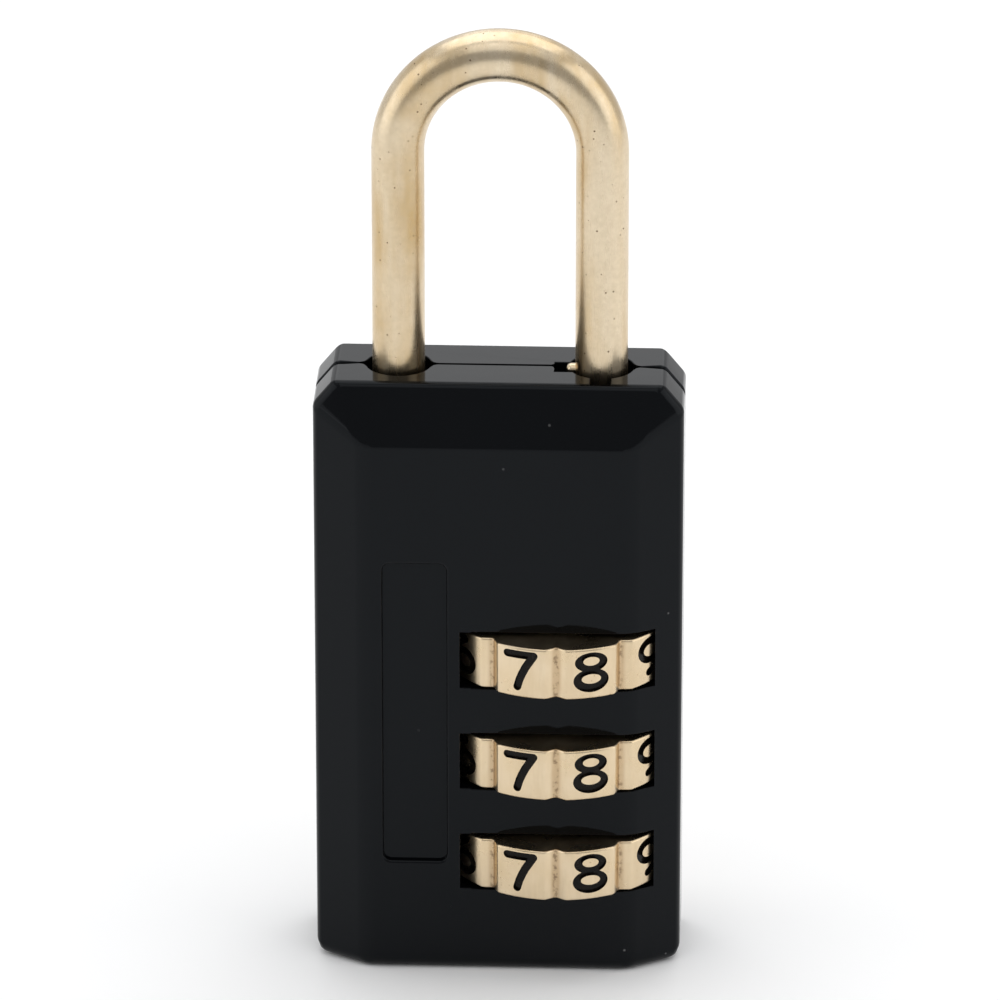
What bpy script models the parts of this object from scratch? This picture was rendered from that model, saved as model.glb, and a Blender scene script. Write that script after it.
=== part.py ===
"""Luggage combination padlock with a sprung shackle and three resettable number dials.

Run it with: blender --background --python part.py

Sizes are named in millimetres and become metres when a mesh is made. The origin is the centre of
the underside, +Z is up, -Y is the front with the label recess and +X is the dials' side.

How it works: the case is two shells that meet in the plane y = 0. The right leg of the shackle is
the captive heel. A collar on the spindle sits in a groove of the heel, so both rise together when
the three gates line up, pushed by the lift spring. The spindle's fins pass through the gates of
the clutch sleeves, one sleeve in each dial, and travel exactly one dial pitch. Turned a quarter
and pushed down, the heel presses the stack of sleeves out of the dials to set a new code.
"""

import math

import bmesh
import bpy
from mathutils import Vector

MM = 0.001

# --- Case -------------------------------------------------------------------------------------
BODY_WIDTH = 20.75           # across both side walls
PANEL_THICKNESS = 9.2        # front panel to back panel
EDGE_THICKNESS = 5.7         # at the top face and along the side walls
TOP_BEVEL = 3.1              # height of the slope above each panel
SIDE_BEVEL = 2.9             # width of the slope beside each panel
TOP_CORNER_RUN = 1.15        # upper corner cut, along X
TOP_CORNER_DROP = 1.4        # upper corner cut, along Z
FOOT_CORNER_RADIUS = 1.0     # lower corners
FOOT_FILLET = 0.8            # along the lower edge of each panel
FLOOR = 1.2                  # wall under the springs
ROOF = 3.3                   # wall above the spindle's channel
SIDE_WALL = 0.35             # thinnest wall, beside the dial pockets
PARTING_GAP = 0.06           # between the two shells

# --- Dials ------------------------------------------------------------------------------------
DIAL_NAMES = ("lower", "middle", "upper")
DIGITS = 10
DIAL_RADIUS = 6.45           # over the crowns of the facets
DIAL_GROOVE_DEPTH = 0.42     # V groove between two facets
DIAL_SHOULDER = 0.04         # the facets' edges are this much lower than their crowns
DIAL_GROOVE_HALF_ANGLE = math.radians(5.0)
DIAL_THICKNESS = 3.04
DIAL_PITCH = 6.25            # height from one dial to the next
DIAL_BORE_WALL = 0.15        # bore radius over the sleeve radius
NOTCH_DEPTH = 0.4            # ten notches in the bore, one for each digit
NOTCH_HEIGHT = 1.2           # they reach this far down from the upper face
POCKET_CLEARANCE = 0.2       # around a dial, radially
WINDOW_CLEARANCE = 0.18      # above and below a dial
WINDOW_MARGIN = 0.94         # window side beyond the dial's chord at the panel
POCKET_RELIEF = 0.05         # a pocket is this much taller than its window, above and below

# --- Clutch sleeves and washers ---------------------------------------------------------------
SLEEVE_RADIUS = 3.25
SLEEVE_BORE_RADIUS = 2.4     # the spindle's fins turn freely inside it
WEB_THICKNESS = 1.6          # the web holds the gate
GATE_CLEARANCE = 0.125       # each side of a fin
SLEEVE_KEY_WIDTH = 0.8
SLEEVE_KEY_HEIGHT = 0.9
SLEEVE_KEY_DEPTH = 0.3       # under the dial's upper face
KEY_CLEARANCE = 0.1          # key to notch
WASHER_THICKNESS = 0.3
STACK_GAP = 0.1              # between a sleeve and a washer

# --- Spindle ----------------------------------------------------------------------------------
SPINDLE_RADIUS = 1.2
SPINDLE_CLEARANCE = 0.15     # to the webs
SPINDLE_BORE_RADIUS = 0.85   # holds the lift spring
SPINDLE_BORE_LENGTH = 10.4
FIN_REACH = 2.2              # radius of a fin's outer face
FIN_WIDTH = 0.9
FIN_HEIGHT = 2.0
FIN_GAP = 0.25               # under a closed gate
NECK_RADIUS = 0.7            # beside the heel's foot
NECK_CLEARANCE = 0.13
COLLAR_THICKNESS = 1.0
COLLAR_CLEARANCE = 0.1       # above and below, in the heel's groove

# --- Shackle ----------------------------------------------------------------------------------
WIRE_RADIUS = 1.475
SHACKLE_CLEARANCE = 17.0     # open height inside the bow, above the case
HEEL_FOOT = 2.0              # flange under the groove
GROOVE_DEPTH = 0.5
LEG_CLEARANCE = 0.35         # leg to its hole
LEG_CHAMFER = 0.3
TOE_SWING_CLEARANCE = 1.0    # toe above the case when the shackle is up
KEY_PIN_RADIUS = 0.35
KEY_PIN_PROUD = 0.5          # past the wire
KEY_PIN_DEPTH = 1.0          # into the wire
KEY_PIN_DROP = 0.2           # its axis below the top face
KEYWAY_CLEARANCE = 0.2       # past the key pin's end, and under it
KEYWAY_ROOM = 0.45           # more length towards the toe
KEYWAY_WIDTH = 1.4
KEYWAY_FORWARD = 0.2         # its middle in front of the parting plane
FRONT_KEYWAY_WIDTH = 1.15
FRONT_KEYWAY_EDGE = 0.15     # wall left at the front of the top face

# --- Springs ----------------------------------------------------------------------------------
SEAT_THICKNESS = 0.4
SEAT_GAP = 0.05
SEAT_POST_RADIUS = 0.42
SEAT_POST_LENGTH = 5.0
RESET_TRAVEL = 1.1           # the code is set with the stack this far down
RESET_SPRING_LENGTH = 1.95
RESET_WIRE_RADIUS = 0.15
LIFT_WIRE_RADIUS = 0.1
LIFT_COIL_CLEARANCE = 0.07   # outside, in the spindle's bore
DETENT_STRIP = 0.2           # spring strip thickness
DETENT_WIDTH = 1.8
DETENT_LENGTH = 5.2
DETENT_FOOT = 0.7
DETENT_RISE = 1.4
DETENT_CLEARANCE = 0.06      # tip to the facets' crowns
DETENT_ANGLE = math.radians(-108.0)   # a groove on the side away from the dials' edge

# --- Label recess and case pins ---------------------------------------------------------------
LABEL_WIDTH = 3.6
LABEL_HEIGHT = 18.4
LABEL_DEPTH = 0.3
LABEL_CORNER = 0.45
LABEL_TO_WINDOW = 0.75
LABEL_RAISE = 2.9            # its middle above the middle dial
CASE_PIN_RADIUS = 0.8
CASE_PIN_LENGTH = 5.2
CASE_PIN_CLEARANCE = 0.03
CASE_PIN_EDGE = 1.5          # pin axis to the nearest outer wall

ROUND = 40                   # segments of a bore or a sleeve
POCKET_ROUND = 60
SMALL_ROUND = 20
WIRE_ROUND = 28
PAST = 0.5                   # how far a cutter runs past the face it opens

# --- Places that follow from the sizes --------------------------------------------------------
HALF_WIDTH = BODY_WIDTH / 2
PANEL_Y = PANEL_THICKNESS / 2
EDGE_Y = EDGE_THICKNESS / 2
POCKET_RADIUS = DIAL_RADIUS + POCKET_CLEARANCE
AXIS_X = HALF_WIDTH - SIDE_WALL - POCKET_RADIUS
SLEEVE_LENGTH = DIAL_PITCH - WASHER_THICKNESS - 2 * STACK_GAP
SEAT_BOTTOM = FLOOR + SEAT_GAP
SEAT_TOP = SEAT_BOTTOM + SEAT_THICKNESS
LOWEST_WASHER_Z = SEAT_TOP + RESET_SPRING_LENGTH
LOWEST_DIAL_Z = LOWEST_WASHER_Z + WASHER_THICKNESS + STACK_GAP + SLEEVE_LENGTH / 2
DIAL_Z = [LOWEST_DIAL_Z + i * DIAL_PITCH for i in range(len(DIAL_NAMES))]
STACK_TOP = LOWEST_WASHER_Z + len(DIAL_NAMES) * DIAL_PITCH + WASHER_THICKNESS
LIFT = DIAL_PITCH

FOOT_Z = STACK_TOP + 1.5 * STACK_GAP
GROOVE_Z = FOOT_Z + HEEL_FOOT
COLLAR_Z = GROOVE_Z + COLLAR_CLEARANCE
GROOVE_TOP = COLLAR_Z + COLLAR_THICKNESS + COLLAR_CLEARANCE
CHANNEL_TOP = COLLAR_Z + COLLAR_THICKNESS + LIFT + SEAT_GAP
BODY_HEIGHT = CHANNEL_TOP + ROOF
HEEL_OFFSET = NECK_RADIUS + NECK_CLEARANCE + WIRE_RADIUS
HEEL_X = AXIS_X + HEEL_OFFSET
CORE_RADIUS = WIRE_RADIUS - GROOVE_DEPTH
COLLAR_RADIUS = HEEL_OFFSET - CORE_RADIUS - NECK_CLEARANCE
LEG_HOLE_RADIUS = WIRE_RADIUS + LEG_CLEARANCE
BEND_Z = BODY_HEIGHT + SHACKLE_CLEARANCE + WIRE_RADIUS - HEEL_X
TOE_Z = BODY_HEIGHT - (LIFT - TOE_SWING_CLEARANCE)
STACK_BORE_RADIUS = SLEEVE_RADIUS + DIAL_BORE_WALL


def principled(name, colour, roughness, metallic):
    material = bpy.data.materials.new(name)
    material.use_nodes = True
    shader = material.node_tree.nodes["Principled BSDF"]
    shader.inputs["Base Color"].default_value = (*colour, 1.0)
    shader.inputs["Roughness"].default_value = roughness
    shader.inputs["Metallic"].default_value = metallic
    material.diffuse_color = (*colour, 1.0)
    return material


def clear_scene():
    for item in list(bpy.data.objects):
        bpy.data.objects.remove(item, do_unlink=True)


def make_object(name, bm, material=None, place=(0.0, 0.0, 0.0), smooth=30.0):
    """Turn a millimetre bmesh into a named object in metres whose origin is at place."""
    bmesh.ops.recalc_face_normals(bm, faces=bm.faces)
    for vert in bm.verts:
        vert.co *= MM
    mesh = bpy.data.meshes.new(name)
    bm.to_mesh(mesh)
    bm.free()
    mesh.shade_smooth()
    mesh.set_sharp_from_angle(angle=math.radians(smooth))
    item = bpy.data.objects.new(name, mesh)
    item.location = Vector(place) * MM
    bpy.context.scene.collection.objects.link(item)
    if material:
        mesh.materials.append(material)
    else:
        item.hide_render = True
        item.display_type = "WIRE"
    return item


def combine(target, operation, tools):
    for tool in tools:
        modifier = target.modifiers.new(tool.name, "BOOLEAN")
        modifier.operation = operation
        modifier.solver = "EXACT"
        modifier.object = tool


def block(low, high):
    bm = bmesh.new()
    bmesh.ops.create_cube(bm, size=1.0)
    for vert in bm.verts:
        for axis in range(3):
            vert.co[axis] = high[axis] if vert.co[axis] > 0 else low[axis]
    return bm


def prism(outline, start, end, axis="Z"):
    """Extrude a closed outline along an axis. An outline across Y is given as X and Z."""
    bm = bmesh.new()
    place = {"Z": lambda u, v: (u, v, start), "Y": lambda u, v: (u, start, v)}[axis]
    face = bm.faces.new([bm.verts.new(place(u, v)) for u, v in outline])
    grown = bmesh.ops.extrude_face_region(bm, geom=[face])["geom"]
    rise = Vector((0, 0, end - start)) if axis == "Z" else Vector((0, end - start, 0))
    bmesh.ops.translate(bm, vec=rise, verts=[v for v in grown if isinstance(v, bmesh.types.BMVert)])
    return bm


def turned(profile, segments=ROUND):
    """Turn a closed profile of (radius, height) points about Z."""
    bm = bmesh.new()
    verts = [bm.verts.new((radius, 0, height)) for radius, height in profile]
    edges = [bm.edges.new((a, b)) for a, b in zip(verts, verts[1:] + verts[:1])]
    bmesh.ops.spin(bm, geom=verts + edges, cent=(0, 0, 0), axis=(0, 0, 1), dvec=(0, 0, 0),
                   angle=2 * math.pi, steps=segments, use_merge=True)
    bmesh.ops.remove_doubles(bm, verts=bm.verts, dist=0.0001)
    bmesh.ops.dissolve_degenerate(bm, edges=bm.edges, dist=0.0001)
    return bm


def rod(radius, low, high, segments=ROUND):
    return turned([(0, low), (radius, low), (radius, high), (0, high)], segments)


def ring(inner, outer, low, high, segments=ROUND):
    return turned([(inner, low), (outer, low), (outer, high), (inner, high)], segments)


def rod_along_y(radius, centre_x, centre_z, low, high, segments=SMALL_ROUND):
    outline = []
    for step in range(segments):
        angle = 2 * math.pi * step / segments
        outline.append((centre_x + radius * math.cos(angle), centre_z + radius * math.sin(angle)))
    return prism(outline, low, high, "Y")


def rounded_rectangle(left, right, low, high, radius, steps=4):
    outline = []
    corners = ((right - radius, high - radius, 0.0), (left + radius, high - radius, 0.5),
               (left + radius, low + radius, 1.0), (right - radius, low + radius, 1.5))
    for centre_x, centre_z, turn in corners:
        for step in range(steps + 1):
            angle = math.pi * (turn + 0.5 * step / steps)
            outline.append((centre_x + radius * math.cos(angle), centre_z + radius * math.sin(angle)))
    return outline


def swept_wire(stations, segments=WIRE_ROUND):
    """A round bar along stations of (x, z, direction angle, radius) in the plane y = 0."""
    bm = bmesh.new()
    rings = []
    for x, z, heading, radius in stations:
        across = Vector((math.sin(heading), 0, -math.cos(heading)))
        loop = []
        for step in range(segments):
            angle = 2 * math.pi * step / segments
            offset = across * math.cos(angle) + Vector((0, 1, 0)) * math.sin(angle)
            loop.append(bm.verts.new(Vector((x, 0, z)) + offset * radius))
        rings.append(loop)
    for near, far in zip(rings, rings[1:]):
        for step in range(segments):
            after = (step + 1) % segments
            bm.faces.new((near[step], near[after], far[after], far[step]))
    bm.faces.new(rings[0])
    bm.faces.new(rings[-1])
    return bm


def coil(name, material, place, mean_radius, wire_radius, low, high, turns, steps_per_turn=8):
    """A helical spring whose wire lies between the heights low and high."""
    curve = bpy.data.curves.new(name, "CURVE")
    curve.dimensions = "3D"
    curve.bevel_depth = wire_radius * MM
    curve.bevel_resolution = 1
    curve.use_fill_caps = True
    spline = curve.splines.new("POLY")
    count = round(turns * steps_per_turn)
    spline.points.add(count)
    bottom = low + wire_radius
    rise = high - low - 2 * wire_radius
    for step, point in enumerate(spline.points):
        angle = 2 * math.pi * step / steps_per_turn
        x = mean_radius * math.cos(angle)
        y = mean_radius * math.sin(angle)
        point.co = (x * MM, y * MM, (bottom + rise * step / count) * MM, 1.0)
    curve.materials.append(material)
    item = bpy.data.objects.new(name, curve)
    item.location = Vector(place) * MM
    bpy.context.scene.collection.objects.link(item)
    return item


# --- Case shells ------------------------------------------------------------------------------
def case_outline(inset):
    """The case seen from the front, with its side walls moved in by inset."""
    side = HALF_WIDTH - inset
    outline = []
    for step in range(5):
        angle = -math.pi / 2 + math.pi / 2 * step / 4
        outline.append((side - FOOT_CORNER_RADIUS * (1 - math.cos(angle)),
                        FOOT_CORNER_RADIUS * (1 + math.sin(angle))))
    outline.append((side, BODY_HEIGHT - TOP_CORNER_DROP))
    outline.append((side - TOP_CORNER_RUN, BODY_HEIGHT))
    return outline + [(-x, z) for x, z in reversed(outline)]


def shell_blank(side):
    """Half of the case before it is hollowed: side is -1 for the front and +1 for the back."""
    bm = bmesh.new()
    for x, z in case_outline(0.0):
        bm.verts.new((x, side * PARTING_GAP / 2, z))
        bm.verts.new((x, side * EDGE_Y, z))
    panel_x = HALF_WIDTH - SIDE_BEVEL
    for x in (-panel_x, panel_x):
        bm.verts.new((x, side * PANEL_Y, BODY_HEIGHT - TOP_BEVEL))
        for step in range(5):
            angle = math.pi / 2 * step / 4
            bm.verts.new((x, side * (PANEL_Y - FOOT_FILLET * (1 - math.sin(angle))),
                          FOOT_FILLET * (1 - math.cos(angle))))
    bmesh.ops.convex_hull(bm, input=bm.verts)
    bmesh.ops.dissolve_limit(bm, angle_limit=math.radians(0.5), verts=bm.verts, edges=bm.edges)
    return bm


def stack_cutters():
    """Pockets, windows and the bore that the dials and sleeves turn in."""
    axis = (AXIS_X, 0, 0)
    half_height = DIAL_THICKNESS / 2 + WINDOW_CLEARANCE
    chord = math.sqrt(DIAL_RADIUS ** 2 - PANEL_Y ** 2)
    half_window = chord + WINDOW_MARGIN
    tools = [make_object("cut_stack_bore", rod(STACK_BORE_RADIUS, FLOOR, STACK_TOP), place=axis)]
    for name, height in zip(DIAL_NAMES, DIAL_Z):
        half_pocket = half_height + POCKET_RELIEF
        pocket = rod(POCKET_RADIUS, height - half_pocket, height + half_pocket, POCKET_ROUND)
        tools.append(make_object("cut_pocket_" + name, pocket, place=axis))
        window = block((AXIS_X - half_window, -PANEL_Y - PAST, height - half_height),
                       (AXIS_X + half_window, PANEL_Y + PAST, height + half_height))
        tools.append(make_object("cut_window_" + name, window))
    return tools


def shackle_cutters():
    """The heel's channel, the toe's hole, the spindle's channel and both keyways."""
    fin_top = DIAL_Z[-1] + fin_span()[1] + LIFT + FIN_GAP
    collar_room = COLLAR_RADIUS + NECK_CLEARANCE
    heel = rod(LEG_HOLE_RADIUS, STACK_TOP - PAST, BODY_HEIGHT + PAST)
    toe = rod(LEG_HOLE_RADIUS, TOE_Z - TOE_SWING_CLEARANCE, BODY_HEIGHT + PAST)
    fins = rod(SLEEVE_BORE_RADIUS, STACK_TOP - 2 * PAST, fin_top)
    collar = rod(collar_room, fin_top - PAST, CHANNEL_TOP)
    keyway_reach = WIRE_RADIUS + KEY_PIN_PROUD + KEYWAY_CLEARANCE + KEYWAY_ROOM
    keyway_front = -KEYWAY_FORWARD - KEYWAY_WIDTH / 2
    key_floor = BODY_HEIGHT - KEY_PIN_DROP - KEY_PIN_RADIUS - KEYWAY_CLEARANCE
    left_keyway = block((HEEL_X - keyway_reach, keyway_front, key_floor),
                        (HEEL_X, keyway_front + KEYWAY_WIDTH, BODY_HEIGHT + PAST))
    front_keyway = block((HEEL_X - FRONT_KEYWAY_WIDTH / 2, -EDGE_Y + FRONT_KEYWAY_EDGE,
                          key_floor - RESET_TRAVEL - KEYWAY_CLEARANCE),
                         (HEEL_X + FRONT_KEYWAY_WIDTH / 2, 0, BODY_HEIGHT + PAST))
    return [make_object("cut_heel", heel, place=(HEEL_X, 0, 0)),
            make_object("cut_toe", toe, place=(-HEEL_X, 0, 0)),
            make_object("cut_fin_room", fins, place=(AXIS_X, 0, 0)),
            make_object("cut_collar_room", collar, place=(AXIS_X, 0, 0)),
            make_object("cut_left_keyway", left_keyway),
            make_object("cut_front_keyway", front_keyway)]


def case_pin_places():
    """X and Z of the four pins that hold the shells together."""
    low = FLOOR + CASE_PIN_RADIUS + PAST
    high = STACK_TOP + 4 * CASE_PIN_RADIUS
    right = HALF_WIDTH - CASE_PIN_EDGE
    return {"lower_left": (-HALF_WIDTH + 2 * CASE_PIN_EDGE, low), "lower_right": (right, low),
            "upper_left": (-right, high), "upper_right": (right, high)}


def pin_cutters():
    radius = CASE_PIN_RADIUS + CASE_PIN_CLEARANCE
    half = CASE_PIN_LENGTH / 2 + CASE_PIN_CLEARANCE
    tools = []
    for name, (x, z) in case_pin_places().items():
        tools.append(make_object("cut_pin_" + name, rod_along_y(radius, x, z, -half, half)))
    return tools


def detent_place():
    """X of the tips, and the middle Y of the strips."""
    middle_y = -(DIAL_RADIUS + DETENT_CLEARANCE) * math.cos(DETENT_ANGLE)
    near_y = middle_y - DETENT_WIDTH / 2
    tip_x = AXIS_X - math.sqrt((DIAL_RADIUS + DETENT_CLEARANCE) ** 2 - near_y ** 2)
    return tip_x, middle_y


def detent_cutter():
    tip_x, middle_y = detent_place()
    reach = DETENT_WIDTH / 2 + STACK_GAP
    height = DETENT_LENGTH / 2 + STACK_GAP
    wall_x = tip_x - DETENT_RISE - DETENT_STRIP - STACK_GAP
    low = (wall_x, middle_y - reach, DIAL_Z[0] - height)
    high = (tip_x + POCKET_CLEARANCE, middle_y + reach, DIAL_Z[-1] + height)
    return make_object("cut_detent_slot", block(low, high))


def label_cutter():
    chord = math.sqrt(DIAL_RADIUS ** 2 - PANEL_Y ** 2)
    right = AXIS_X - chord - WINDOW_MARGIN - LABEL_TO_WINDOW
    middle = DIAL_Z[1] + LABEL_RAISE
    outline = rounded_rectangle(right - LABEL_WIDTH, right, middle - LABEL_HEIGHT / 2,
                                middle + LABEL_HEIGHT / 2, LABEL_CORNER)
    return make_object("cut_label", prism(outline, -PANEL_Y - PAST, -PANEL_Y + LABEL_DEPTH, "Y"))


def build_case(material):
    shared = stack_cutters() + shackle_cutters() + pin_cutters()
    front = make_object("front_shell", shell_blank(-1), material)
    combine(front, "DIFFERENCE", shared + [label_cutter()])
    back = make_object("back_shell", shell_blank(1), material)
    combine(back, "DIFFERENCE", shared + [detent_cutter()])


def build_case_pins(material):
    half = CASE_PIN_LENGTH / 2
    for name, (x, z) in case_pin_places().items():
        pin = rod_along_y(CASE_PIN_RADIUS, x, z, -half, half)
        make_object("case_pin_" + name, pin, material)


# --- Dials and sleeves ------------------------------------------------------------------------
def dial_outline():
    """Ten slightly crowned facets with a V groove between each two."""
    half = math.pi / DIGITS
    outline = []
    for digit in range(DIGITS):
        groove = 2 * half * digit - math.pi / 2
        outline.append((groove, DIAL_RADIUS - DIAL_GROOVE_DEPTH))
        for step in (-2, -1, 0, 1, 2):
            offset = step / 2
            angle = groove + half + offset * (half - DIAL_GROOVE_HALF_ANGLE)
            outline.append((angle, DIAL_RADIUS - DIAL_SHOULDER * offset ** 2))
    return [(radius * math.cos(angle), radius * math.sin(angle)) for angle, radius in outline]


def notched_bore():
    """The dial's bore, with one notch for each digit."""
    bore = STACK_BORE_RADIUS
    half_notch = (SLEEVE_KEY_WIDTH / 2 + KEY_CLEARANCE) / bore
    land = math.pi / DIGITS - half_notch
    outline = []
    for digit in range(DIGITS):
        middle = 2 * math.pi * digit / DIGITS + math.pi / 2
        for radius, angle in ((bore, -half_notch), (bore + NOTCH_DEPTH, -half_notch),
                              (bore + NOTCH_DEPTH, half_notch), (bore, half_notch),
                              (bore, half_notch + land)):
            outline.append((radius * math.cos(middle + angle), radius * math.sin(middle + angle)))
    return outline


def build_dial(name, height, material):
    half = DIAL_THICKNESS / 2
    place = (AXIS_X, 0, height)
    dial = make_object("dial_" + name, prism(dial_outline(), -half, half), material, place)
    notches = make_object("cut_notches_" + name, prism(notched_bore(), -half - PAST, half + PAST),
                          place=place)
    relief = rod(STACK_BORE_RADIUS + NOTCH_DEPTH + KEY_CLEARANCE, -half - PAST, half - NOTCH_HEIGHT)
    combine(dial, "DIFFERENCE", [notches, make_object("cut_relief_" + name, relief, place=place)])


def build_sleeve(name, height, material):
    """A clutch sleeve: its key fits a notch of the dial, and its web has the gate."""
    half = SLEEVE_LENGTH / 2
    place = (AXIS_X, 0, height)
    web = half - WEB_THICKNESS
    hub = SPINDLE_RADIUS + SPINDLE_CLEARANCE
    profile = [(SLEEVE_BORE_RADIUS, -half), (SLEEVE_RADIUS, -half), (SLEEVE_RADIUS, half),
               (hub, half), (hub, web), (SLEEVE_BORE_RADIUS, web)]
    sleeve = make_object("clutch_sleeve_" + name, turned(profile), material, place)
    key_top = DIAL_THICKNESS / 2 - SLEEVE_KEY_DEPTH
    key = block((-SLEEVE_KEY_WIDTH / 2, SLEEVE_BORE_RADIUS + PAST, key_top - SLEEVE_KEY_HEIGHT),
                (SLEEVE_KEY_WIDTH / 2, STACK_BORE_RADIUS + NOTCH_DEPTH - KEY_CLEARANCE, key_top))
    gate_half = FIN_WIDTH / 2 + GATE_CLEARANCE
    gate = block((-gate_half, -SLEEVE_BORE_RADIUS, web - PAST), (gate_half, 0, half + PAST))
    combine(sleeve, "UNION", [make_object("add_key_" + name, key, place=place)])
    combine(sleeve, "DIFFERENCE", [make_object("cut_gate_" + name, gate, place=place)])


def build_washers(material):
    for index in range(len(DIAL_NAMES) + 1):
        low = LOWEST_WASHER_Z + index * DIAL_PITCH
        washer = ring(SLEEVE_BORE_RADIUS, SLEEVE_RADIUS, low, low + WASHER_THICKNESS)
        make_object("stack_washer_%d" % (index + 1), washer, material, (AXIS_X, 0, 0))


# --- Spindle and shackle ----------------------------------------------------------------------
def fin_span():
    """Lower and upper end of a fin, from its dial's middle height."""
    top = SLEEVE_LENGTH / 2 - WEB_THICKNESS - FIN_GAP
    return top - FIN_HEIGHT, top


def build_spindle(material):
    foot = SEAT_TOP + RESET_TRAVEL + SEAT_GAP
    shoulder = FOOT_Z - 2 * STACK_GAP
    collar_top = COLLAR_Z + COLLAR_THICKNESS
    bore_end = SEAT_TOP + SPINDLE_BORE_LENGTH
    profile = [(SPINDLE_BORE_RADIUS, foot), (SPINDLE_RADIUS, foot), (SPINDLE_RADIUS, shoulder),
               (NECK_RADIUS, shoulder), (NECK_RADIUS, COLLAR_Z), (COLLAR_RADIUS, COLLAR_Z),
               (COLLAR_RADIUS, collar_top), (0, collar_top), (0, bore_end),
               (SPINDLE_BORE_RADIUS, bore_end)]
    place = (AXIS_X, 0, 0)
    spindle = make_object("spindle", turned(profile), material, place)
    low, high = fin_span()
    root = (SPINDLE_BORE_RADIUS + SPINDLE_RADIUS) / 2
    fins = []
    for name, height in zip(DIAL_NAMES, DIAL_Z):
        fin = block((-FIN_WIDTH / 2, -FIN_REACH, height + low), (FIN_WIDTH / 2, -root, height + high))
        fins.append(make_object("add_fin_" + name, fin, place=place))
    combine(spindle, "UNION", fins)
    return spindle


def shackle_stations():
    """From the heel's foot, up and over the bow, to the toe."""
    up = math.pi / 2
    x = HEEL_X
    groove_core = CORE_RADIUS
    stations = [(x, FOOT_Z, up, WIRE_RADIUS - LEG_CHAMFER), (x, FOOT_Z + LEG_CHAMFER, up, WIRE_RADIUS),
                (x, GROOVE_Z, up, WIRE_RADIUS), (x, GROOVE_Z, up, groove_core),
                (x, GROOVE_TOP, up, groove_core), (x, GROOVE_TOP, up, WIRE_RADIUS)]
    steps = 28
    for step in range(steps + 1):
        turn = math.pi * step / steps
        stations.append((x * math.cos(turn), BEND_Z + x * math.sin(turn), up + turn, WIRE_RADIUS))
    down = up + math.pi
    stations.append((-x, TOE_Z + LEG_CHAMFER, down, WIRE_RADIUS))
    stations.append((-x, TOE_Z, down, WIRE_RADIUS - LEG_CHAMFER))
    return stations


def key_pin_blank(radius, clearance):
    """The heel's cross pin along X, drawn from its inner end to its free end."""
    start = -WIRE_RADIUS - KEY_PIN_PROUD
    end = KEY_PIN_DEPTH - WIRE_RADIUS + clearance
    stations = [(start, 0, 0.0, radius), (end, 0, 0.0, radius)]
    return swept_wire(stations, SMALL_ROUND)


def build_shackle(material):
    place = (HEEL_X, 0, BODY_HEIGHT)
    bow = swept_wire(shackle_stations())
    bmesh.ops.translate(bow, vec=Vector((-HEEL_X, 0, -BODY_HEIGHT)), verts=bow.verts)
    shackle = make_object("shackle", bow, material, place)
    pin_place = (HEEL_X, 0, BODY_HEIGHT - KEY_PIN_DROP)
    hole = key_pin_blank(KEY_PIN_RADIUS + CASE_PIN_CLEARANCE, CASE_PIN_CLEARANCE)
    combine(shackle, "DIFFERENCE", [make_object("cut_key_pin_hole", hole, place=pin_place)])
    return shackle, make_object("shackle_key_pin", key_pin_blank(KEY_PIN_RADIUS, 0), material, pin_place)


# --- Springs ----------------------------------------------------------------------------------
def build_springs(steel, brass):
    axis = (AXIS_X, 0, 0)
    seat = turned([(0, SEAT_BOTTOM), (SLEEVE_RADIUS, SEAT_BOTTOM), (SLEEVE_RADIUS, SEAT_TOP),
                   (SEAT_POST_RADIUS, SEAT_TOP), (SEAT_POST_RADIUS, SEAT_TOP + SEAT_POST_LENGTH),
                   (0, SEAT_TOP + SEAT_POST_LENGTH)])
    make_object("spring_seat", seat, brass, axis)
    reset_radius = (SLEEVE_BORE_RADIUS + SLEEVE_RADIUS) / 2
    coil("reset_spring", steel, axis, reset_radius, RESET_WIRE_RADIUS, SEAT_TOP + SEAT_GAP,
         LOWEST_WASHER_Z - SEAT_GAP, 2.5, 16)
    lift_radius = SPINDLE_BORE_RADIUS - LIFT_COIL_CLEARANCE - LIFT_WIRE_RADIUS
    coil("lift_spring", steel, axis, lift_radius, LIFT_WIRE_RADIUS, SEAT_TOP + SEAT_GAP,
         SEAT_TOP + SPINDLE_BORE_LENGTH - SEAT_GAP, 14)


def build_detents(material):
    """A bent strip of spring steel for each dial, its tip over a groove."""
    tip_x, middle_y = detent_place()
    half = DETENT_LENGTH / 2
    foot = half - DETENT_FOOT
    outer = [(0, -half), (0, -foot), (DETENT_RISE, 0), (0, foot), (0, half)]
    strip = outer + [(x - DETENT_STRIP, z) for x, z in reversed(outer)]
    low_y = middle_y - DETENT_WIDTH / 2
    for name, height in zip(DIAL_NAMES, DIAL_Z):
        bm = prism([(tip_x - DETENT_RISE + x, height + z) for x, z in strip],
                   low_y, low_y + DETENT_WIDTH, "Y")
        make_object("detent_spring_" + name, bm, material)


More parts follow.
